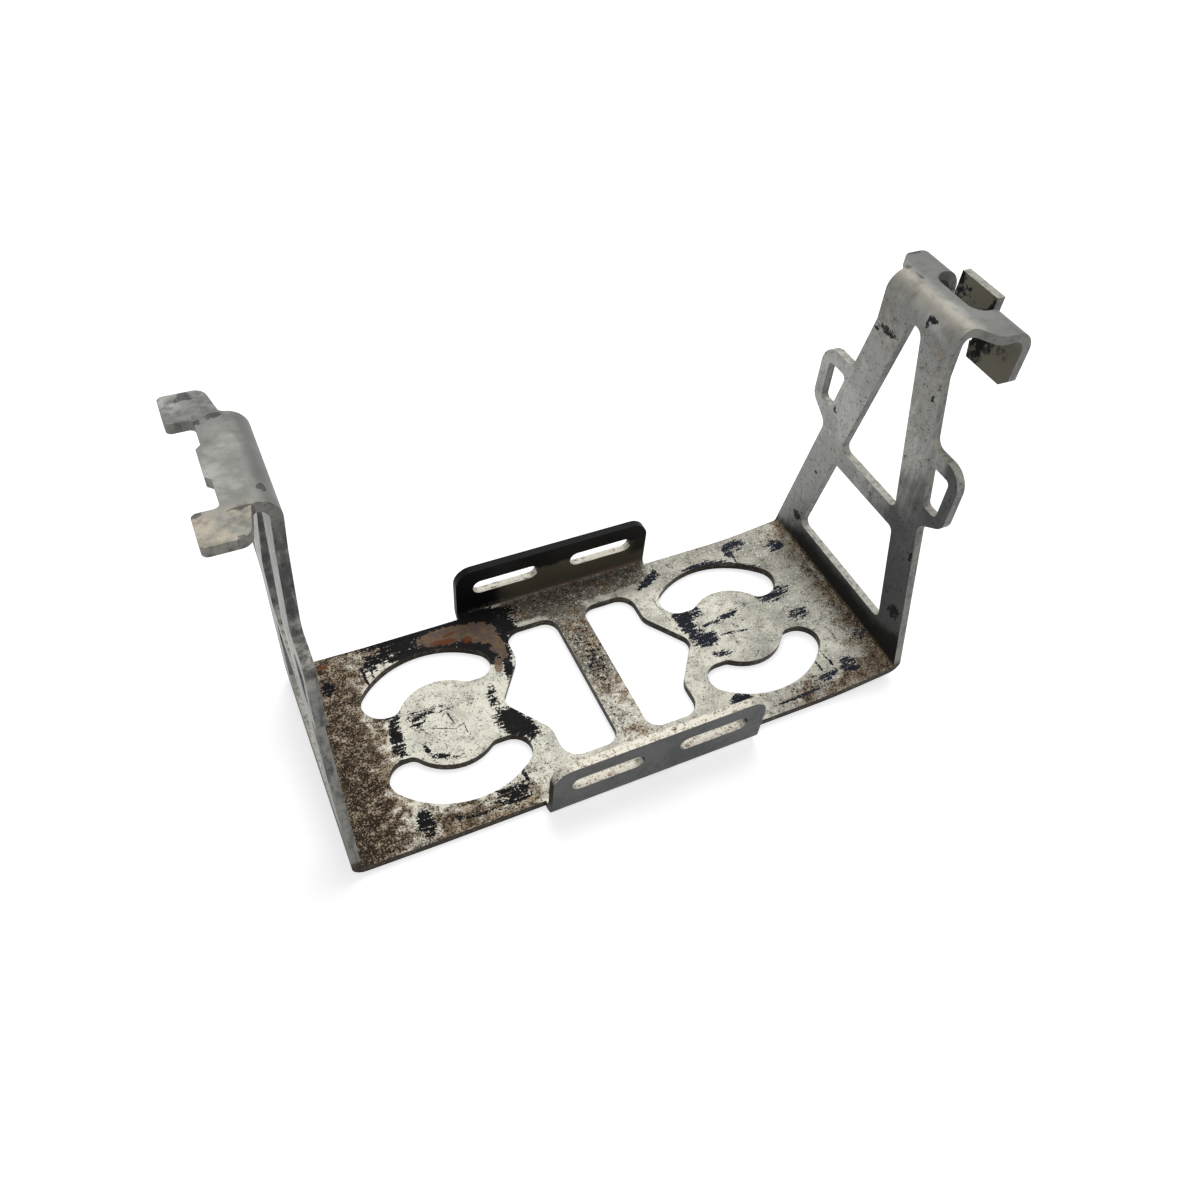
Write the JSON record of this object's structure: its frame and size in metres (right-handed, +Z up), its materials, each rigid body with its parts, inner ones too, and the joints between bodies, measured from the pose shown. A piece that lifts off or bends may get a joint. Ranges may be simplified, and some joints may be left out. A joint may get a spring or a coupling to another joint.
{
  "type": "stamped metal bracket",
  "caption": "Folded sheet steel bracket: pierced base plate, slotted side flanges, and tapering pierced uprights with outturned heads.",
  "frame": {"origin": "centre of the base plate's flat underside, below the middle of the central bar", "axes": "+X along the base towards the hooked head, +Y across the base, +Z up"},
  "size_m": [0.1551, 0.0612, 0.0912],
  "materials": {
    "steel": "worn, dull grey with dark grime, smudges and fine scratches"
  },
  "bodies": {
    "root": {"bracket": "steel"}
  },
  "joints": []
}
